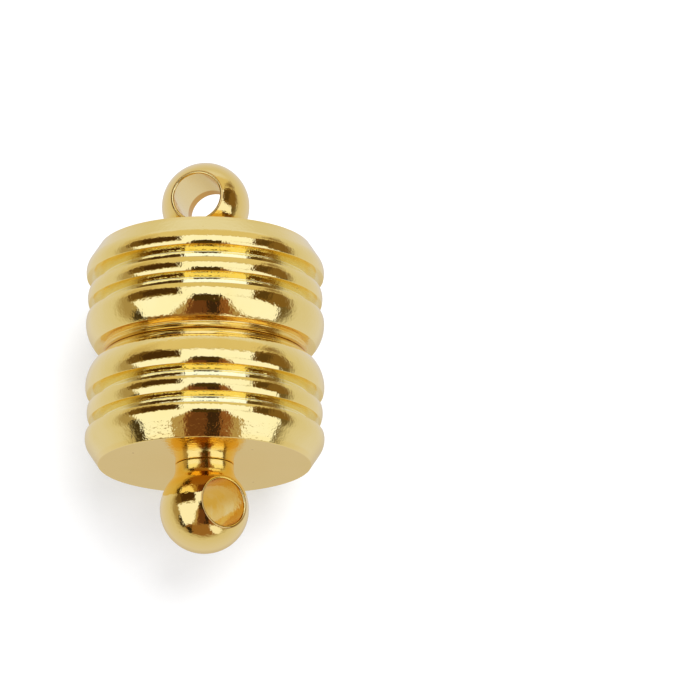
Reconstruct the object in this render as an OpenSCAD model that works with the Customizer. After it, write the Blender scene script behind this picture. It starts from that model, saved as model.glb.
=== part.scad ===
// Column magnetic clasp: two turned and ribbed cups, closed face to face by a disc magnet in each.
// A ball with a cross hole stands on a short neck at each end and takes the cord, chain or jump ring.
// Millimetres, +Z up. The clasp lies on its side along Y, and the origin is on the table below the seam.

/* [Ribbed cup] */
// Largest diameter, over the crests of the two large ribs
body_d = 10; // [9.4:0.1:12]
// Length of each half, from the seam to its flat end
half_len = 4.73; // [4.5:0.01:6]
// From the seam to the crest of the large rib beside it
seam_rib_y = 1.39; // [1.2:0.01:1.5]
// Radius of the rounding over the seam rib, on its long side towards the seam
seam_side_r = 1.6; // [1.45:0.05:2.2]
// Radius of the rounding over the seam rib, on its side towards the bead
seam_rib_r = 0.87; // [0.7:0.01:1.1]
// From the seam to the crest of the small bead
bead_y = 2.5; // [2.35:0.01:2.7]
// Radius of the rounding over the bead
bead_r = 0.865; // [0.6:0.005:1.1]
// How far the crest of the bead lies below the large crests
bead_drop = 0.07; // [0:0.005:0.12]
// From the seam to the crest of the large rib at the end
end_rib_y = 3.62; // [3.5:0.01:3.8]
// Radius of the rounding over the end rib
end_rib_r = 0.82; // [0.65:0.01:1]
// Angle to the axis of the bevel that runs from the end rib down to the flat end
bevel_angle = 33; // [26:1:38]

/* [Grooves and lip] */
// Depth of the two grooves beside the bead, below the large crests
groove_depth = 0.58; // [0.4:0.01:0.8]
// Width of a groove's flat floor
groove_w = 0.2; // [0.1:0.01:0.3]
// Lean of the groove walls, and of the shoulder above the lip
groove_lean = 10; // [0:1:20]
// Depth of the lip beside the seam, below the large crests
lip_depth = 0.735; // [0.5:0.005:1.1]
// Width of a lip, from the seam to the foot of its shoulder
lip_w = 0.31; // [0.2:0.01:0.45]
// How far each lip's rim stands back from the seam plane
rim_back = 0.01; // [0.01:0.01:0.15]

/* [Magnets] */
// Diameter of each disc magnet
magnet_d = 7; // [5:0.1:7.4]
// Thickness of each disc magnet
magnet_t = 2.4; // [1.5:0.1:2.8]
// Chamfer round both faces of a magnet
magnet_chamfer = 0.2; // [0.1:0.05:0.4]
// How far each magnet's face stands back from the seam plane
magnet_back = 0.01; // [0.01:0.01:0.1]
// Glue gap round a magnet and behind it
glue_gap = 0.05; // [0.02:0.01:0.1]

/* [Ball loops] */
// Diameter of the ball
ball_d = 3.7; // [3.4:0.02:4.4]
// Diameter of the cross hole through the ball
hole_d = 2; // [1.4:0.05:2.3]
// From the flat end to the nearest point of the ball
neck_len = 0.04; // [0.02:0.01:1]
// Diameter of the neck
neck_d = 2.45; // [2.2:0.05:2.6]
// Radius of the hollow fillet between neck and ball
neck_fillet = 0.75; // [0.3:0.05:0.8]
// Turn of the rear cross hole about the clasp's axis, from straight up towards +X
rear_turn = -15; // [-90:1:90]
// Turn of the front cross hole about the clasp's axis, from straight up towards +X
front_turn = 33; // [-90:1:90]

/* [Loop shank] */
// Diameter of the shank that holds the loop in the end wall
shank_d = 1.6; // [1:0.1:1.8]
// How far the shank ends short of the pocket's floor
shank_back = 0.2; // [0.1:0.05:0.5]
// Gap round the shank and under the neck's shoulder
shank_gap = 0.01; // [0.01:0.01:0.05]

/* [Hidden] */
$fn = 96;
GOLD = [0.93, 0.76, 0.38];
NICKEL = [0.74, 0.73, 0.70];
// Towards +Y and towards -Y
REAR = 1;
FRONT = -1;
crest_r = body_d / 2;
axis_z = crest_r;
groove_r = crest_r - groove_depth;
lip_r = crest_r - lip_depth;
// Each groove lies midway between the crests on its two sides
inner_groove_y = (seam_rib_y + bead_y) / 2;
outer_groove_y = (bead_y + end_rib_y) / 2;
// The end bevel as [radius, distance from the seam], where it leaves the end rib and where it ends
bevel_top = [
    crest_r - end_rib_r * (1 - cos(bevel_angle)),
    end_rib_y + end_rib_r * sin(bevel_angle)
];
bevel_foot = [bevel_top[0] - (half_len - bevel_top[1]) * tan(bevel_angle), half_len];
pocket_r = magnet_d / 2 + glue_gap;
pocket_floor = magnet_back + magnet_t + glue_gap;
ball_r = ball_d / 2;
ball_y = half_len + neck_len + ball_r;
neck_r = neck_d / 2;
seat_y = half_len + shank_gap;
// Where the fillet's centre lies: beside the neck, and just near enough to run into the ball
fillet_bite = 0.002;
fillet_reach = ball_r + neck_fillet - fillet_bite;
fillet_x = neck_r + neck_fillet;
fillet_drop = sqrt(pow(fillet_reach, 2) - pow(fillet_x, 2));
fillet_share = ball_r / fillet_reach;

// One half's frame: its axis is drawn along Z, and laid on the table towards +Y or -Y
module lay(side) {
    translate([0, 0, axis_z]) rotate([-90 * side, 0, 0]) children();
}

// Section of a turned groove with leaning walls, with its floor at floor_r and centred at distance y
module groove(y, floor_r, floor_w) {
    mouth_r = body_d;
    foot = floor_w / 2;
    mouth = foot + (mouth_r - floor_r) * tan(groove_lean);
    polygon([[floor_r, y - foot], [mouth_r, y - mouth], [mouth_r, y + mouth], [floor_r, y + foot]]);
}

// Half section of the ribs before the grooves, with radius along X and distance from the seam along Y
module ribs() {
    polygon([
        [0, rim_back],
        [lip_r, rim_back],
        [groove_r, seam_rib_y],
        [groove_r, end_rib_y],
        bevel_top,
        bevel_foot,
        [0, half_len]
    ]);
    intersection() {
        translate([crest_r - seam_side_r, seam_rib_y]) circle(seam_side_r);
        translate([0, rim_back]) square([crest_r, seam_rib_y - rim_back]);
    }
    translate([crest_r - seam_rib_r, seam_rib_y]) circle(seam_rib_r);
    translate([crest_r - bead_drop - bead_r, bead_y]) circle(bead_r);
    translate([crest_r - end_rib_r, end_rib_y]) circle(end_rib_r);
}

module cup(side) {
    color(GOLD) lay(side) rotate_extrude() difference() {
        ribs();
        groove(0, lip_r, 2 * lip_w);
        groove(inner_groove_y, groove_r, groove_w);
        groove(outer_groove_y, groove_r, groove_w);
        square([pocket_r, pocket_floor]);
        square([shank_d / 2 + shank_gap, half_len + 1]);
    }
}

module magnet(side) {
    magnet_r = magnet_d / 2;
    color(NICKEL) lay(side) translate([0, 0, magnet_back]) rotate_extrude() polygon([
        [0, 0],
        [magnet_r - magnet_chamfer, 0],
        [magnet_r, magnet_chamfer],
        [magnet_r, magnet_t - magnet_chamfer],
        [magnet_r - magnet_chamfer, magnet_t],
        [0, magnet_t]
    ]);
}

// Half section of a loop before its hole is drilled
module loop_section() {
    intersection() {
        translate([0, ball_y]) circle(ball_r);
        translate([0, ball_y - ball_r]) square([ball_r, ball_d]);
    }
    difference() {
        polygon([
            [0, seat_y],
            [neck_r, seat_y],
            [neck_r, ball_y - fillet_drop],
            [fillet_x * fillet_share, ball_y - fillet_drop * fillet_share],
            [0, ball_y]
        ]);
        translate([fillet_x, ball_y - fillet_drop]) circle(neck_fillet);
    }
    translate([0, pocket_floor + shank_back]) square([shank_d / 2, ball_y - pocket_floor - shank_back]);
}

module loop(side, turn) {
    color(GOLD) lay(side) difference() {
        rotate_extrude() loop_section();
        translate([0, 0, ball_y]) rotate([90, 0, side * turn]) cylinder(d = hole_d, h = 2 * ball_d, center = true);
    }
}

module rear_cup() { cup(REAR); }
module rear_loop() { loop(REAR, rear_turn); }
module rear_magnet() { magnet(REAR); }
module front_cup() { cup(FRONT); }
module front_loop() { loop(FRONT, front_turn); }
module front_magnet() { magnet(FRONT); }

rear_cup();
rear_loop();
rear_magnet();
front_cup();
front_loop();
front_magnet();
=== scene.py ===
from math import asin, atan2, cos, degrees, dist, hypot, pi, radians, sin, sqrt, tan

import bmesh
import bpy
from mathutils import Matrix, Vector


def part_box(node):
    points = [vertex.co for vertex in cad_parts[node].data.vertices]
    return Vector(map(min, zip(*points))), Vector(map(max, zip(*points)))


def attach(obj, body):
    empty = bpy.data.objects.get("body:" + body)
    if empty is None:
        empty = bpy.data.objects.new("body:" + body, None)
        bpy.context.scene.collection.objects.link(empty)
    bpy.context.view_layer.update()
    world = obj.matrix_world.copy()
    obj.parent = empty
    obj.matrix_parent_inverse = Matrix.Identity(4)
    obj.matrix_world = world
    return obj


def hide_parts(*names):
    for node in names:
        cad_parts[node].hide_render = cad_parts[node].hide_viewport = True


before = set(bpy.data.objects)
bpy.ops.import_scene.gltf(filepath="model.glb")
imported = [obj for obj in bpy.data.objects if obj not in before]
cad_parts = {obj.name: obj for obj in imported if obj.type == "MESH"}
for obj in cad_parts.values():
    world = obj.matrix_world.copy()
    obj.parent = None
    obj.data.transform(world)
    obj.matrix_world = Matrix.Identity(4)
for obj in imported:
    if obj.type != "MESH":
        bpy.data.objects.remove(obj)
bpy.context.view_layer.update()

# A column magnetic clasp in polished pale gold, lying on its side along Y on white paper.
# Lengths are millimetres until a mesh is made, and MM turns them into metres.
MM = 0.001

# The clasp's sizes that the boxes of its nodes give
cup_low, cup_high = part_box("rear_cup")
magnet_low, magnet_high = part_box("rear_magnet")
loop_low, loop_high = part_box("rear_loop")
CREST_R = (cup_high.z - cup_low.z) / 2 / MM
AXIS_Z = (cup_high.z + cup_low.z) / 2 / MM
RIM_BACK = cup_low.y / MM
HALF_LEN = cup_high.y / MM
MAGNET_R = (magnet_high.z - magnet_low.z) / 2 / MM
MAGNET_BACK = magnet_low.y / MM
MAGNET_T = (magnet_high.y - magnet_low.y) / MM
SHANK_END = loop_low.y / MM
REACH = loop_high.y / MM

# The turned ribs: how far their crests lie from the seam, the radii of their roundings, how far the
# bead lies below the large crests, and the end bevel's angle to the axis
SEAM_RIB_Y = 1.39
SEAM_SIDE_R = 1.6
SEAM_RIB_R = 0.87
BEAD_Y = 2.5
BEAD_R = 0.865
BEAD_DROP = 0.07
END_RIB_Y = 3.62
END_RIB_R = 0.82
BEVEL = radians(33)

# The grooves on both sides of the bead, each just past the middle between its crests and with a
# slightly bowed floor, and the lip beside the seam
INNER_GROOVE_Y = (SEAM_RIB_Y + BEAD_Y) / 2 + 0.04
OUTER_GROOVE_Y = (BEAD_Y + END_RIB_Y) / 2 + 0.05
GROOVE_R = CREST_R - 0.62
GROOVE_W = 0.27
GROOVE_BOW_R = 0.8
GROOVE_LEAN = radians(13)
LIP_R = CREST_R - 0.735
LIP_W = 0.31
LIP_LEAN = radians(10)

# The glue gap round a magnet, and the loop: its ball, cross hole, neck and shank
GLUE_GAP = 0.05
BALL_R = 1.85
HOLE_R = 1.0
NECK_R = 1.225
NECK_FILLET = 0.75
SHANK_R = 0.8
SHANK_GAP = 0.01
BALL_Y = REACH - BALL_R
REAR_TURN = radians(-15)
FRONT_TURN = radians(33)

# How far polishing has rounded each kind of edge
RIM_ROUND = 0.05
SHOULDER_ROUND = 0.03
FOOT_ROUND = 0.03
END_ROUND = 0.05
HOLE_ROUND = 0.07
MAGNET_ROUND = 0.2

# Faces round a cup or neck, round a ball and round a magnet
TURNS = 384
BALL_TURNS = 288
MAGNET_TURNS = 240
# Points nearer than this are one, in a mesh in metres and in an outline in millimetres
MERGE_M = 1e-7
MERGE_MM = 1e-6
# How near to a cutting plane a point counts as on it, in metres
ON_PLANE_M = 1e-9
# Width along the axis of the ring of faces that joins a ball to its neck
BRIDGE_W = 0.01
# Edges that turn by more than this are shaded sharp
SHARP = radians(28)


def stretch(start, end, steps):
    """Points on a straight run, crowded at both ends so that a flat shades flat up to its edge."""
    shares = [(1 - cos(pi * i / steps)) / 2 for i in range(steps + 1)]
    return [(start[0] + (end[0] - start[0]) * s, start[1] + (end[1] - start[1]) * s) for s in shares]


def arc(centre, radius, first, last, steps):
    """Points on an arc. Angles run from the radius direction towards the end of the half."""
    turns = [first + (last - first) * i / steps for i in range(steps + 1)]
    return [(centre[0] + radius * cos(t), centre[1] + radius * sin(t)) for t in turns]


def rounded(before, corner, after, radius, steps=5):
    """The corner between two straight runs, rounded by an arc that touches both."""
    a = Vector(before) - Vector(corner)
    b = Vector(after) - Vector(corner)
    half = a.angle(b) / 2
    a.normalize()
    b.normalize()
    centre = Vector(corner) + (a + b).normalized() * (radius / sin(half))
    first = Vector(corner) + a * (radius / tan(half)) - centre
    last = Vector(corner) + b * (radius / tan(half)) - centre
    start = atan2(first.y, first.x)
    swing = (atan2(last.y, last.x) - start + pi) % (2 * pi) - pi
    return arc(centre, radius, start, start + swing, steps)


def joined(*runs):
    """One outline out of several runs, without the points that two runs share."""
    points = []
    for run in runs:
        for point in run:
            if not points or dist(point, points[-1]) > MERGE_MM:
                points.append(point)
    return points


def turned(bm, centre, axis, turns):
    """Turns the outline in bm round an axis: an eighth of a turn is spun, then doubled three times."""
    bmesh.ops.spin(
        bm,
        geom=bm.verts[:] + bm.edges[:],
        cent=centre,
        axis=axis,
        angle=pi / 4,
        steps=turns // 8,
    )
    for angle in (pi / 4, pi / 2, pi):
        copy = bmesh.ops.duplicate(bm, geom=bm.verts[:] + bm.edges[:] + bm.faces[:])
        verts = [v for v in copy["geom"] if isinstance(v, bmesh.types.BMVert)]
        bmesh.ops.rotate(bm, verts=verts, cent=centre, matrix=Matrix.Rotation(angle, 3, axis))
    bmesh.ops.remove_doubles(bm, verts=bm.verts, dist=MERGE_M)
    return bm


def outlined(points, closed):
    """A bmesh that holds one outline of vertices and edges."""
    bm = bmesh.new()
    verts = [bm.verts.new(p) for p in points]
    for a, b in zip(verts, verts[1:]):
        bm.edges.new((a, b))
    if closed:
        bm.edges.new((verts[-1], verts[0]))
    return bm


def spun(outline, side, closed=True, turns=TURNS):
    """A bmesh turned round the clasp's axis from points given as radius and distance from the seam."""
    points = [Vector((r, side * y, AXIS_Z)) * MM for r, y in outline]
    return turned(outlined(points, closed), Vector((0, 0, AXIS_Z)) * MM, Vector((0, 1, 0)), turns)


def shown(bm, name, material):
    """An object in the scene with a bmesh's shape and one material."""
    mesh = bpy.data.meshes.new(name)
    bm.to_mesh(mesh)
    bm.free()
    mesh.materials.append(material)
    made = bpy.data.objects.new(name, mesh)
    bpy.context.scene.collection.objects.link(made)
    return made


def finished(bm, name, material, node, body):
    """Turns a bmesh into a smooth piece that stands for a node, rides on its body and has its finish."""
    bmesh.ops.recalc_face_normals(bm, faces=bm.faces)
    for face in bm.faces:
        face.smooth = True
    piece = shown(bm, name, material)
    piece.data.set_sharp_from_angle(angle=SHARP)
    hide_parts(node)
    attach(piece, body)


def bow(rib, start, end, steps):
    """The part of a rib's rounding that runs from beside one point to beside another."""
    centre, radius = rib
    first, last = (atan2(p[1] - centre[1], p[0] - centre[0]) for p in (start, end))
    return arc(centre, radius, first, last, steps)


def beside(rib, point, way):
    """A point on the straight line that touches a rib's rounding at point."""
    out = Vector(point) - Vector(rib[0])
    return Vector(point) + Vector((-out.y, out.x)) * way


def wall_top(foot, way, lean, rib):
    """Where the leaning wall over a foot meets a rib's rounding."""
    centre, radius = rib
    rise = Vector((cos(lean), way * sin(lean)))
    gap = Vector(foot) - Vector(centre)
    near = gap.dot(rise)
    return Vector(foot) + rise * (sqrt(near ** 2 - gap.length_squared + radius ** 2) - near)


def groove(y, before, after):
    """A groove from the rib before it to the rib after it, with rounded edges and a bowed floor."""
    near_foot = (GROOVE_R, y - GROOVE_W / 2)
    far_foot = (GROOVE_R, y + GROOVE_W / 2)
    near_top = wall_top(near_foot, -1, GROOVE_LEAN, before)
    far_top = wall_top(far_foot, 1, GROOVE_LEAN, after)
    edges = (
        rounded(beside(before, near_top, -1), near_top, near_foot, SHOULDER_ROUND, 4),
        rounded(near_top, near_foot, far_foot, FOOT_ROUND, 4),
        rounded(near_foot, far_foot, far_top, FOOT_ROUND, 4),
        rounded(far_foot, far_top, beside(after, far_top, 1), SHOULDER_ROUND, 4),
    )
    swing = asin((edges[2][0][1] - y) / GROOVE_BOW_R)
    floor = arc((GROOVE_R - GROOVE_BOW_R * cos(swing), y), GROOVE_BOW_R, -swing, swing, 8)
    down, up = (stretch(a[-1], b[0], 4) for a, b in (edges[:2], edges[2:]))
    return joined(edges[0], down, edges[1], floor, edges[2], up, edges[3])


def cup(side):
    """A ribbed cup, spun from its closed section: lip, ribs, flat end, shank hole and magnet pocket."""
    seam_slope = ((CREST_R - SEAM_SIDE_R, SEAM_RIB_Y), SEAM_SIDE_R)
    seam_rib = ((CREST_R - SEAM_RIB_R, SEAM_RIB_Y), SEAM_RIB_R)
    bead = ((CREST_R - BEAD_DROP - BEAD_R, BEAD_Y), BEAD_R)
    end_rib = ((CREST_R - END_RIB_R, END_RIB_Y), END_RIB_R)
    seam_crest = (CREST_R, SEAM_RIB_Y)
    end_top = (CREST_R - END_RIB_R * (1 - cos(BEVEL)), END_RIB_Y + END_RIB_R * sin(BEVEL))
    end_foot = (end_top[0] - (HALF_LEN - end_top[1]) * tan(BEVEL), HALF_LEN)
    pocket_r = MAGNET_R + GLUE_GAP
    pocket_floor = MAGNET_BACK + MAGNET_T + GLUE_GAP
    hole_r = SHANK_R + SHANK_GAP
    mouth = (pocket_r, RIM_BACK)
    rim = (LIP_R, RIM_BACK)
    lip_foot = (LIP_R, LIP_W)
    shoulder = wall_top(lip_foot, 1, LIP_LEAN, seam_slope)
    floor_edge = (pocket_r, pocket_floor)
    end_edge = (hole_r, HALF_LEN)
    mouth_round = rounded(floor_edge, mouth, rim, RIM_ROUND, 3)
    rim_round = rounded(mouth, rim, lip_foot, RIM_ROUND, 4)
    foot_round = rounded(rim, lip_foot, shoulder, FOOT_ROUND, 4)
    shoulder_round = rounded(lip_foot, shoulder, beside(seam_slope, shoulder, 1), SHOULDER_ROUND, 5)
    inner = groove(INNER_GROOVE_Y, seam_rib, bead)
    outer = groove(OUTER_GROOVE_Y, bead, end_rib)
    end_round = rounded(end_top, end_foot, end_edge, END_ROUND, 6)
    outline = joined(
        mouth_round,
        stretch(mouth_round[-1], rim_round[0], 4),
        rim_round,
        stretch(rim_round[-1], foot_round[0], 4),
        foot_round,
        stretch(foot_round[-1], shoulder_round[0], 5),
        shoulder_round,
        bow(seam_slope, shoulder_round[-1], seam_crest, 26),
        bow(seam_rib, seam_crest, inner[0], 12),
        inner,
        bow(bead, inner[-1], outer[0], 20),
        outer,
        bow(end_rib, outer[-1], end_top, 28),
        stretch(end_top, end_round[0], 8),
        end_round,
        stretch(end_round[-1], end_edge, 12),
        stretch(end_edge, (hole_r, pocket_floor), 2),
        stretch((hole_r, pocket_floor), floor_edge, 4),
        stretch(floor_edge, mouth_round[0], 4),
    )
    # The section ends where it starts
    return spun(outline[:-1], side)


def magnet(side):
    """A disc magnet with rounded edges."""
    back = MAGNET_BACK + MAGNET_T
    face, rear = (0, MAGNET_BACK), (0, back)
    front_edge, back_edge = (MAGNET_R, MAGNET_BACK), (MAGNET_R, back)
    front_round = rounded(face, front_edge, back_edge, MAGNET_ROUND, 8)
    back_round = rounded(front_edge, back_edge, rear, MAGNET_ROUND, 8)
    outline = joined(
        stretch(face, front_round[0], 16),
        front_round,
        stretch(front_round[-1], back_round[0], 6),
        back_round,
        stretch(back_round[-1], rear, 8),
    )
    return spun(outline, side, closed=False, turns=MAGNET_TURNS)


def drilled_ball(side, turn):
    """The ball, spun round the axis of its cross hole and cut open where the neck runs into it."""
    # The rounding's centre lies inside the ball, clear of the hole's wall by its radius
    edge_x = HOLE_R + HOLE_ROUND
    edge_s = sqrt((BALL_R - HOLE_ROUND) ** 2 - edge_x ** 2)
    tip = atan2(edge_s, edge_x)
    outer = arc((0, 0), BALL_R, -tip, tip, 96)
    far_edge = arc((edge_x, edge_s), HOLE_ROUND, tip, pi, 8)
    near_edge = arc((edge_x, -edge_s), HOLE_ROUND, -pi, -tip, 8)
    wall = stretch(far_edge[-1], near_edge[0], 14)
    outline = joined(outer, far_edge, wall, near_edge)
    centre = Vector((0, side * BALL_Y * MM, AXIS_Z * MM))
    along = Vector((sin(turn), 0, cos(turn)))
    across = Vector((0, side, 0))
    points = [centre + (across * r + along * s) * MM for r, s in outline[:-1]]
    return turned(outlined(points, True), centre, along, BALL_TURNS)


def loop(side, turn):
    """A ball loop: the drilled ball, bridged to a neck and shank spun round the clasp's axis."""
    bm = drilled_ball(side, turn)
    fillet_x = NECK_R + NECK_FILLET
    fillet_drop = sqrt((BALL_R + NECK_FILLET) ** 2 - fillet_x ** 2)
    share = BALL_R / (BALL_R + NECK_FILLET)
    cut = BALL_Y - fillet_drop * share + BRIDGE_W
    bmesh.ops.bisect_plane(
        bm,
        geom=bm.verts[:] + bm.edges[:] + bm.faces[:],
        dist=ON_PLANE_M,
        plane_co=(0, side * cut * MM, 0),
        plane_no=(0, -side, 0),
        clear_outer=True,
    )
    seat = HALF_LEN + SHANK_GAP
    swing = atan2(fillet_drop, fillet_x)
    bend = arc((fillet_x, BALL_Y - fillet_drop), NECK_FILLET, pi, pi - swing, 16)
    shoulder = rounded((SHANK_R, seat), (NECK_R, seat), bend[0], RIM_ROUND)
    outline = joined(
        stretch((0, SHANK_END), (SHANK_R, SHANK_END), 2),
        stretch((SHANK_R, SHANK_END), (SHANK_R, seat), 2),
        stretch((SHANK_R, seat), shoulder[0], 2),
        shoulder,
        stretch(shoulder[-1], bend[0], 6),
        bend,
    )
    neck = spun(outline, side, closed=False)
    lump = bpy.data.meshes.new("neck")
    neck.to_mesh(lump)
    neck.free()
    bm.from_mesh(lump)
    bpy.data.meshes.remove(lump)
    open_edges = [e for e in bm.edges if e.is_boundary]
    bmesh.ops.bridge_loops(bm, edges=open_edges)
    return bm


class Paint:
    """One material's node tree."""

    def __init__(self, name):
        self.material = bpy.data.materials.new(name)
        self.material.use_nodes = True
        self.tree = self.material.node_tree
        self.tree.nodes.clear()

    def node(self, kind, settings=None, output=0, **values):
        """A node of that type. Settings are set first, then sockets, by name or as i and their number."""
        made = self.tree.nodes.new(kind)
        for name, value in (settings or {}).items():
            setattr(made, name, value)
        for name, value in values.items():
            key = int(name[1:]) if name[1:].isdigit() else name.replace("_", " ")
            if isinstance(value, Socket):
                self.tree.links.new(value.socket, made.inputs[key])
            else:
                made.inputs[key].default_value = value
        return Socket(self, made.outputs[output]) if made.outputs else made

    def maths(self, operation, a, b=0.0):
        """A Math node on one or two numbers."""
        return self.node("ShaderNodeMath", {"operation": operation}, i0=a, i1=b)

    def mix(self, share, a, b):
        """Colour a, or colour b where share is 1."""
        return self.node("ShaderNodeMix", {"data_type": "RGBA"}, output=2, i0=share, i6=a, i7=b)

    def step(self, value, low, high):
        """0 below low, 1 above high and smooth between."""
        settings = {"interpolation_type": "SMOOTHSTEP"}
        return self.node("ShaderNodeMapRange", settings, Value=value, i1=low, i2=high)

    def place(self, centre=(0, 0, 0)):
        """Object coordinates in metres, measured from centre."""
        spot = self.node("ShaderNodeTexCoord", output=3)
        return self.node("ShaderNodeVectorMath", {"operation": "SUBTRACT"}, i0=spot, i1=centre)

    def noise(self, width, detail=2.0, place=None):
        """Noise from 0 to 1, whose blots are about width millimetres across."""
        spot = place or self.place()
        return self.node("ShaderNodeTexNoise", Vector=spot, Scale=1 / (width * MM), Detail=detail)

    def bump(self, height, rise):
        """The surface's direction where a height of 1 stands rise millimetres high."""
        return self.node("ShaderNodeBump", Strength=1.0, Distance=rise * MM, Height=height)

    def complete(self, surface):
        """The complete material, with this shader as its surface."""
        self.node("ShaderNodeOutputMaterial", Surface=surface)
        return self.material


class Socket:
    """An output that can be used in an expression, which adds its Math nodes."""

    def __init__(self, paint, socket):
        self.paint = paint
        self.socket = socket

    def __add__(self, other):
        return self.paint.maths("ADD", self, other)

    def __sub__(self, other):
        return self.paint.maths("SUBTRACT", self, other)

    def __rsub__(self, other):
        return self.paint.maths("SUBTRACT", other, self)

    def __mul__(self, other):
        return self.paint.maths("MULTIPLY", self, other)

    def __truediv__(self, other):
        return self.paint.maths("DIVIDE", self, other)

    __radd__ = __add__
    __rmul__ = __mul__


# Gold plate varies from a deeper to a paler tone, with another tone on the loops, and a paler tone in the
# grooves that is painted light
GOLD_DEEP = (0.935, 0.725, 0.235, 1)
GOLD_PALE = (0.985, 0.805, 0.36, 1)
GOLD_LOOP = (0.93, 0.71, 0.26, 1)
GOLD_GROOVE_LIGHT = (0.98, 0.865, 0.43, 1)
# A clear tone of painted reflection on the grooves' sides to the left and right, a painted highlight in a
# strip along the top and the underside of the necks, and a little painted light in the rear cross hole
GOLD_CLEAR_HIGHLIGHT = (0.98, 0.865, 0.46, 1)
# An orange tone: painted reflection on the lips, the sides of the necks and their roots, and a little on
# the flat ends, at random and as painted reflection round their middle
GOLD_ORANGE = (0.94, 0.6, 0.09, 1)
# A deep tone painted where a cross hole lies in shade, and a stain in the pits and the seam that is also
# painted shade round the holes, in the rear hole's lower mouth and on the front hole's near side
GOLD_SHADE = (0.9, 0.54, 0.06, 1)
GOLD_STAIN_AND_SHADE = (0.45, 0.16, 0.01, 1)

# The height of the orange peel, and how wide the marks in the plating are: peel, fine peel, haze, blots
# and turning lines. The lines' noise is squashed across the axis, so that they run far round it.
PEEL_RISE = 0.009
PEEL_WIDTH = 0.18
FINE_PEEL_WIDTH = 0.08
HAZE_WIDTH = 1.6
BLOT_WIDTH = 0.7
LINE_WIDTH = 0.1
LINE_SQUASH = (0.05, 1, 0.05)
# From pit to pit, and the edge of a pit as a share of that
PIT_SPACING = 1.1
PIT_EDGE = (0.02, 0.06)

# Where the gold's tones start and end, each as the two ends of a soft step. Distances from the seam:
SEAM_END = (0.06, 0.16)
LIPS_END = (0.5, 0.6)
SIDES_START = (1.2, 1.3)
SIDES_END = (3.4, 3.5)
GROOVES_END = (4.2, 4.4)
FLAT_START = (4.5, 4.6)
LOOPS_START = (HALF_LEN, HALF_LEN + SHANK_GAP)
NECKS_END = (HALF_LEN + 0.45, HALF_LEN + 0.65)
ROOTS_END = (HALF_LEN + 0.9, HALF_LEN + 1.3)
# Distances from the clasp's axis
FLAT_MIDDLE = (1.2, 4)
LIPS_INNER = (LIP_R - 0.14, LIP_R - 0.06)
GROOVES_TOP = (CREST_R - 0.55, CREST_R - 0.3)
SIDES_TOP = (CREST_R - 0.3, CREST_R - 0.18)
# Distances to the left or right of the clasp's middle
NECK_STRIP = (0.7, 1.0)
FLANKS = (2.2, 3.4)
# Distances from the axis of a cross hole, down that axis from the ball's middle, and past the middle,
# where the near side is the one towards the seam
BORE_WALL = (HOLE_R, HOLE_R + 0.01)
RIM_INNER = (HOLE_R + 0.08, HOLE_R + 0.1)
RIM_OUTER = (HOLE_R + 0.12, HOLE_R + 0.14)
MOUTH_START = (0.85, 0.95)
NEAR_SIDE_END = (-0.6, 0)


def cup_masks(paint, along, from_axis, flanks, loops):
    """Masks of the cups' grooves, the grooves' sides, the lips, the seam and the flat ends, which carry
    painted light and reflection.
    """
    deep = (1 - paint.step(from_axis, *GROOVES_TOP)) * (1 - paint.step(along, *GROOVES_END))
    by_seam = deep * (1 - paint.step(along, *LIPS_END))
    grooves = deep - by_seam
    walls = (1 - paint.step(from_axis, *SIDES_TOP)) * paint.step(along, *SIDES_START)
    sides = walls * (1 - paint.step(along, *SIDES_END)) * flanks
    lips = by_seam * paint.step(from_axis, *LIPS_INNER)
    seam = lips * (1 - paint.step(along, *SEAM_END))
    ends = paint.step(along, *FLAT_START) * (1 - loops)
    return grooves, sides, lips, seam, ends


def hole_masks(paint, x, y, z, along, loops):
    """Masks of a painted dark line of shade round each hole's rim, the rear hole, its lower mouth with
    painted shade, the front hole and its near side with painted shade.
    """
    # 1 on the rear half and 0 on the front half
    rear = paint.step(y, -1, 1)
    tilt_x = rear * sin(REAR_TURN) + (1 - rear) * sin(FRONT_TURN)
    tilt_z = rear * cos(REAR_TURN) + (1 - rear) * cos(FRONT_TURN)
    # From the middle of the nearer ball: past it along the clasp, and up its cross hole
    past = along - BALL_Y
    up = x * tilt_x + z * tilt_z
    from_hole = paint.maths("SQRT", x * x + z * z + past * past - up * up)
    bores = loops * (1 - paint.step(from_hole, *BORE_WALL))
    rim_shade_lines = loops * (paint.step(from_hole, *RIM_INNER) - paint.step(from_hole, *RIM_OUTER))
    rear_bore = bores * rear
    rear_mouth_shade = rear_bore * paint.step(0 - up, *MOUTH_START)
    front_bore = bores * (1 - rear)
    near_side_shade = front_bore * (1 - paint.step(past, *NEAR_SIDE_END))
    return rim_shade_lines, rear_bore, rear_mouth_shade, front_bore, near_side_shade


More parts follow.
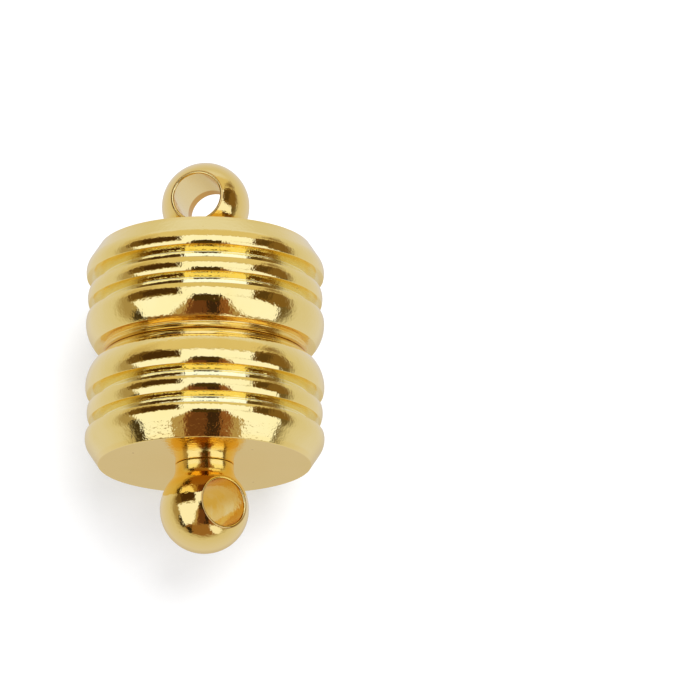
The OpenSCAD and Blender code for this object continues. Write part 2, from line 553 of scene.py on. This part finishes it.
def gold_plate():
    """Mirror-polished pale gold plate, with the fine orange peel of plating and a few pits, and painted
    reflection, highlight and shade in its tones.
    """
    paint = Paint("gold_plate")
    from_seam = paint.place((0, 0, AXIS_Z * MM))
    x, y, z = (paint.node("ShaderNodeSeparateXYZ", output=i, Vector=from_seam) / MM for i in range(3))
    along = paint.maths("ABSOLUTE", y)
    aside = paint.maths("ABSOLUTE", x)
    from_axis = paint.maths("SQRT", x * x + z * z)

    flanks = paint.step(aside, *FLANKS)
    loops = paint.step(along, *LOOPS_START)
    past_necks = paint.step(along, *NECKS_END)
    necks = loops * (1 - past_necks)
    neck_highlight_strips = necks * (1 - paint.step(aside, *NECK_STRIP))
    roots = past_necks * (1 - paint.step(along, *ROOTS_END))
    grooves, sides, lips, seam, ends = cup_masks(paint, along, from_axis, flanks, loops)
    rim_shade_lines, rear_bore, rear_mouth_shade, front_bore, near_side_shade = hole_masks(paint, x, y, z, along, loops)

    haze = paint.noise(HAZE_WIDTH, 3.0)
    blots = paint.step(paint.noise(BLOT_WIDTH), 0.4, 0.6)
    peel = paint.noise(PEEL_WIDTH, 1.5) * 0.7 + paint.noise(FINE_PEEL_WIDTH, 1.0) * 0.3
    from_pit = paint.node("ShaderNodeTexVoronoi", Vector=paint.place(), Scale=1 / (PIT_SPACING * MM))
    pits = 1 - paint.step(from_pit, *PIT_EDGE)
    squashed = paint.node("ShaderNodeVectorMath", {"operation": "MULTIPLY"}, i0=from_seam, i1=LINE_SQUASH)
    lines = paint.step(paint.noise(LINE_WIDTH, 1.0, squashed), 0.45, 0.55)
    height = peel - pits * 0.6 + lines * (lips * 1.4 + sides * 0.6) * 0.5

    tone = paint.mix(haze, GOLD_DEEP, GOLD_PALE)
    tone = paint.mix(loops, tone, GOLD_LOOP)
    # Painted light: a paler tone in the grooves that lifts the shade in them
    tone = paint.mix(grooves, tone, GOLD_GROOVE_LIGHT)
    # Painted reflection and highlight: clear on the grooves' sides to the left and right, in a strip
    # along the necks' top and underside, and a little in the rear cross hole
    tone = paint.mix(sides * 0.85 + rear_bore * 0.2 + neck_highlight_strips, tone, GOLD_CLEAR_HIGHLIGHT)
    # Painted reflection: orange on the lips beside the seam, broken by the turning lines and weaker to
    # the left and right, and the seam's dark line
    tone = paint.mix(lips * (0.35 + lines * 0.65) * (1 - flanks * 0.5) + seam, tone, GOLD_ORANGE)
    # Painted reflection: orange on the necks' sides and on the balls next to the necks
    tone = paint.mix(roots * 0.8 + (necks - neck_highlight_strips) * 0.7, tone, GOLD_ORANGE)
    # Orange at random on the flat ends, and painted reflection of the necks round their middle
    middle = 1 - paint.step(from_axis, *FLAT_MIDDLE)
    tone = paint.mix(ends * (haze * 0.3 + middle * 0.15), tone, GOLD_ORANGE)
    # Painted shade: blotches in the front cross hole, its near side and the rear hole's lower mouth
    tone = paint.mix(front_bore * blots * 0.5 + near_side_shade * 0.8 + rear_mouth_shade, tone, GOLD_SHADE)
    # Stains in the pits and the seam's dark line, with painted shade round each hole's rim, in the rear
    # hole's lower mouth and on the front hole's near side
    stains_and_shade = pits * 0.6 + seam * 0.4 + rim_shade_lines * 0.6 + rear_mouth_shade * 0.5 + near_side_shade * 0.2
    tone = paint.mix(stains_and_shade, tone, GOLD_STAIN_AND_SHADE)

    polish = paint.step(haze, 0.35, 0.75) * 0.05 + 0.03
    dull = pits * 0.2 + lips * 0.13 + necks * 0.08 + (rear_bore + front_bore) * 0.1 + sides * 0.15
    return paint.complete(paint.node(
        "ShaderNodeBsdfPrincipled",
        Base_Color=tone,
        Metallic=1.0,
        Roughness=polish + dull,
        Normal=paint.bump(height, PEEL_RISE),
    ))


# Nickel plate varies from a deeper to a paler tone too, in haze of its own width
NICKEL_DEEP = (0.55, 0.53, 0.49, 1)
NICKEL_PALE = (0.68, 0.66, 0.62, 1)
NICKEL_HAZE_WIDTH = 0.9


def nickel_plate():
    """Bright nickel plate on a magnet."""
    paint = Paint("nickel_plate")
    haze = paint.noise(NICKEL_HAZE_WIDTH, 3.0)
    return paint.complete(paint.node(
        "ShaderNodeBsdfPrincipled",
        Base_Color=paint.mix(haze, NICKEL_DEEP, NICKEL_PALE),
        Metallic=1.0,
        Roughness=paint.step(haze, 0.3, 0.8) * 0.12 + 0.08,
        Normal=paint.bump(paint.noise(PEEL_WIDTH), PEEL_RISE),
    ))


# The paper's two near tones, the light that it gives of itself, and its fibres
PAPER_DEEP = (0.59, 0.59, 0.59, 1)
PAPER_PALE = (0.61, 0.61, 0.61, 1)
PAPER_GLOW = (0.975, 0.99, 1.03, 1)
PAPER_GLOW_STRENGTH = 0.36
FIBRE_WIDTH = 0.3
FIBRE_RISE = 0.005


def white_paper():
    """Smooth white paper under the clasp."""
    paint = Paint("white_paper")
    fibre = paint.noise(FIBRE_WIDTH, 4.0)
    return paint.complete(paint.node(
        "ShaderNodeBsdfPrincipled",
        Base_Color=paint.mix(fibre, PAPER_DEEP, PAPER_PALE),
        Roughness=0.9,
        Specular_IOR_Level=0.0,
        Emission_Color=PAPER_GLOW,
        Emission_Strength=PAPER_GLOW_STRENGTH,
        Normal=paint.bump(fibre, FIBRE_RISE),
    ))


# The light tent's radius, and the dim warm light of the room where no panel hangs
TENT_MM = 250
TENT_STRENGTH = 0.85
ROOM_LIGHT = (0.48, 0.385, 0.22, 1)

# The light that comes up from the paper: far off, beside the clasp and under it
FAR_PAPER_LIGHT = (0.84, 0.81, 0.72, 1)
PAPER_LIGHT = (0.88, 0.88, 1.0, 1)
UNDER_LIGHT = (0.74, 0.67, 0.55, 1)
# Degrees from straight up where the paper starts, and where its next two lights take over
PAPER_START = (82, 100)
PAPER_LIGHT_START = (90, 128)
UNDER_LIGHT_START = (140, 170)

# What hangs in the tent, with what comes later in front: light, width of the soft edge, and corners
# anticlockwise. Corners are degrees from straight up, to the right and to the back, and edges are
# degrees wide. PAST is further than any direction lies.
SOFTBOX = (1.25, 1.36, 1.75)
PAST = 200
TENT_PANELS = {
    "back wall":
        ((0.87, 0.765, 0.50), 8, ((-PAST, 34), (PAST, 34), (PAST, PAST), (-PAST, PAST))),
    "far wall":
        ((0.95, 0.98, 1.15), 14, ((-PAST, 73), (PAST, 73), (PAST, PAST), (-PAST, PAST))),
    "back wall's left":
        ((0.70, 0.58, 0.34), 16, ((-100, 34), (-50, 34), (-44, 60), (-100, 60))),
    "dark corner":
        ((0.34, 0.24, 0.12), 12, ((50, 50), (76, 46), (74, 62), (60, 72))),
    "front cloth":
        ((0.38, 0.20, 0.07), 6,
         ((-58, -54), (-52, -68), (-36, -81), (0, -88), (30, -84), (42, -76), (36, -52), (0, -46))),
    "front box":
        ((0.04, 0.026, 0.01), 7, ((-52, -60), (-48, -74), (-40, -79), (-33, -72), (-36, -58))),
    "left frame":
        ((0.07, 0.05, 0.02), 5, ((-72, -22), (-72, -55), (-54, -57), (-56, -30))),
    "right frame":
        ((0.14, 0.10, 0.04), 6, ((66, -30), (66, -58), (78, -56), (84, -28))),
    "right shade":
        ((0.19, 0.14, 0.065), 6, ((70, -6), (73, -50), (88, -50), (92, 2))),
    "left card":
        ((0.18, 0.105, 0.03), 6, ((-76, 8), (-24, 8), (-24, 31), (-45, 41), (-68, 42), (-77, 30))),
    "left card's core":
        ((0.075, 0.036, 0.010), 5, ((-60, 10), (-24, 10), (-24, 30), (-40, 36), (-62, 32))),
    "right card":
        ((0.25, 0.15, 0.045), 5,
         ((44, -2), (75, -6), (89, -3), (90, 15), (86, 33), (75, 44), (60, 45), (48, 39), (44, 30))),
    "right card's core":
        ((0.12, 0.07, 0.02), 8, ((46, 5), (62, 5), (64, 38), (50, 36))),
    "top softbox":
        (SOFTBOX, 4, ((-23, 3), (45, 3), (45, 33), (-23, 34))),
    "left softbox":
        (SOFTBOX, 4, ((-72, 4), (-61, -45), (-58, -53), (-32, -53), (-12, -1), (-12, 5))),
    "right softbox":
        (SOFTBOX, 4,
         ((15, 4), (27, -30), (35, -53), (67, -55), (71, -45), (74, -25), (74, -11), (70, -7), (45, 1))),
    "low softbox":
        ((1.2, 1.25, 1.45), 4,
         ((17, -67), (27, -79), (45, -80), (55, -73), (55, -67), (31, -57), (14, -56))),
    "stand":
        ((0.55, 0.42, 0.24), 5, ((-12, -3), (-21, -25), (-32, -54), (36, -54), (27, -30), (15, -3))),
    "stand's side":
        ((0.31, 0.128, 0.048), 6, ((-15, -8), (-20, -54), (25, -54), (22, -8))),
    "stand's column":
        ((0.17, 0.066, 0.028), 6, ((-12, -12), (-17, -54), (14, -54), (14, -12))),
    "stand's dark side":
        ((0.05, 0.026, 0.014), 5, ((2, -14), (2, -54), (13, -54), (13, -14))),
    "camera":
        ((0.07, 0.043, 0.012), 3, ((-13, -2), (-12, -16), (14, -16), (15, -2), (14, 4), (-11, 4))),
}


def inside(paint, x, y, corners, soft):
    """1 inside a convex panel with anticlockwise corners, 0 outside, and an edge soft degrees wide."""
    margin = PAST
    for (ax, ay), (bx, by) in zip(corners, corners[1:] + corners[:1]):
        length = hypot(bx - ax, by - ay)
        nx = (ay - by) / length
        ny = (bx - ax) / length
        margin = paint.maths("MINIMUM", x * nx + y * ny - (ax * nx + ay * ny), margin)
    return paint.step(margin, -soft / 2, soft / 2)


def tent_light(centre):
    """What the gold mirrors: softboxes and cards in a dim room over pale paper, by direction."""
    paint = Paint("light_tent")
    towards = paint.node("ShaderNodeVectorMath", {"operation": "NORMALIZE"}, i0=paint.place(centre))
    parts = [paint.node("ShaderNodeSeparateXYZ", output=i, Vector=towards) for i in range(3)]
    lean = paint.maths("ARCCOSINE", parts[2])
    spread = lean / paint.maths("SINE", lean) * degrees(1)
    x = parts[0] * spread
    y = parts[1] * spread
    light = ROOM_LIGHT
    for glow, soft, corners in TENT_PANELS.values():
        light = paint.mix(inside(paint, x, y, corners, soft), light, glow + (1,))
    lean = lean * degrees(1)
    paper = paint.mix(paint.step(lean, *PAPER_LIGHT_START), FAR_PAPER_LIGHT, PAPER_LIGHT)
    paper = paint.mix(paint.step(lean, *UNDER_LIGHT_START), paper, UNDER_LIGHT)
    light = paint.mix(paint.step(lean, *PAPER_START), light, paper)
    material = paint.complete(paint.node("ShaderNodeEmission", Color=light, Strength=TENT_STRENGTH))
    material.cycles.emission_sampling = "NONE"
    return material


def light_tent():
    """A tent round the clasp that only its polished surfaces see."""
    centre = (0, 0, AXIS_Z * MM)
    bm = bmesh.new()
    bmesh.ops.create_icosphere(bm, subdivisions=5, radius=TENT_MM * MM, matrix=Matrix.Translation(centre))
    tent = shown(bm, "light_tent", tent_light(centre))
    tent.visible_camera = False
    tent.visible_diffuse = False
    tent.visible_shadow = False


# Half the paper's width
PAPER_MM = 10000


def paper_floor():
    """A wide sheet of paper at the height that the clasp rests on, which the gold doesn't mirror."""
    bm = bmesh.new()
    bmesh.ops.create_grid(bm, x_segments=1, y_segments=1, size=PAPER_MM * MM)
    floor = shown(bm, "paper_floor", white_paper())
    floor.visible_glossy = False


# The light of the white room, and the lamp's size, distance, power and direction
ROOM_WHITE = 0.95
LAMP_SIZE_MM = 400
LAMP_MM = 500
LAMP_WATTS = 2.1
LAMP_TOWARDS = (0.28, 0.36, 1)


def lamp_and_room():
    """White light all round, and one large lamp, high at the back right, that only the paper sees."""
    world = bpy.data.worlds.new("white_room")
    world.use_nodes = True
    room = world.node_tree.nodes["Background"].inputs
    room["Color"].default_value = (1, 1, 1, 1)
    room["Strength"].default_value = ROOM_WHITE
    bpy.context.scene.world = world
    light = bpy.data.lights.new("lamp", "AREA")
    light.shape = "DISK"
    light.size = LAMP_SIZE_MM * MM
    light.energy = LAMP_WATTS
    lamp = bpy.data.objects.new("lamp", light)
    towards = Vector(LAMP_TOWARDS).normalized()
    turn = towards.to_track_quat("Z", "Y").to_matrix().to_4x4()
    lamp.matrix_world = Matrix.Translation(towards * LAMP_MM * MM) @ turn
    lamp.visible_glossy = False
    lamp.visible_camera = False
    bpy.context.scene.collection.objects.link(lamp)
    bpy.context.scene.view_settings.view_transform = "Standard"


# The camera: the photograph's frame, where it shows the middle of the seam and how large a millimetre
# is there, the camera's distance, sensor and nearest view, and how it tilts and rolls
FRAME_PX = 700
SEAM_PX = (205.05, 356.55)
PX_PER_MM = 23.864
CAMERA_MM = 208
SENSOR_MM = 36
NEAREST_MM = 10
TILT = radians(16.6)
ROLL = radians(0.25)


def camera():
    """A long lens above the clasp, tilted towards its front end, with the clasp left of the middle."""
    seam = Vector((0, 0, AXIS_Z)) * MM
    back = Vector((0, -sin(TILT), cos(TILT)))
    up = Vector((-sin(ROLL), cos(ROLL) * cos(TILT), cos(ROLL) * sin(TILT)))
    right = up.cross(back)
    aim = right * (FRAME_PX / 2 - SEAM_PX[0]) + up * (SEAM_PX[1] - FRAME_PX / 2)
    aim = seam + aim / PX_PER_MM * MM
    place = seam + back * CAMERA_MM * MM
    lens = bpy.data.cameras.new("camera")
    lens.sensor_width = SENSOR_MM
    lens.lens = PX_PER_MM * CAMERA_MM / FRAME_PX * SENSOR_MM
    lens.clip_start = NEAREST_MM * MM
    maker = bpy.data.objects.new("camera", lens)
    bpy.context.scene.collection.objects.link(maker)
    ahead = (aim - place).normalized()
    side = ahead.cross(up).normalized()
    turn = Matrix((side, side.cross(ahead), -ahead)).transposed()
    maker.matrix_world = Matrix.Translation(place) @ turn.to_4x4()
    bpy.context.scene.camera = maker


# Each half's name, side, turn of its cross hole, body and its magnet's body
HALVES = (
    ("rear", 1, REAR_TURN, "rear_half", "rear_half"),
    ("front", -1, FRONT_TURN, "front_half", "front_carrier"),
)
gold = gold_plate()
nickel = nickel_plate()
for end, side, turn, body, magnet_body in HALVES:
    finished(cup(side), end + "_ribbed_cup", gold, end + "_cup", body)
    finished(loop(side, turn), end + "_ball_loop", gold, end + "_loop", body)
    finished(magnet(side), end + "_disc_magnet", nickel, end + "_magnet", magnet_body)
camera()
light_tent()
paper_floor()
lamp_and_room()
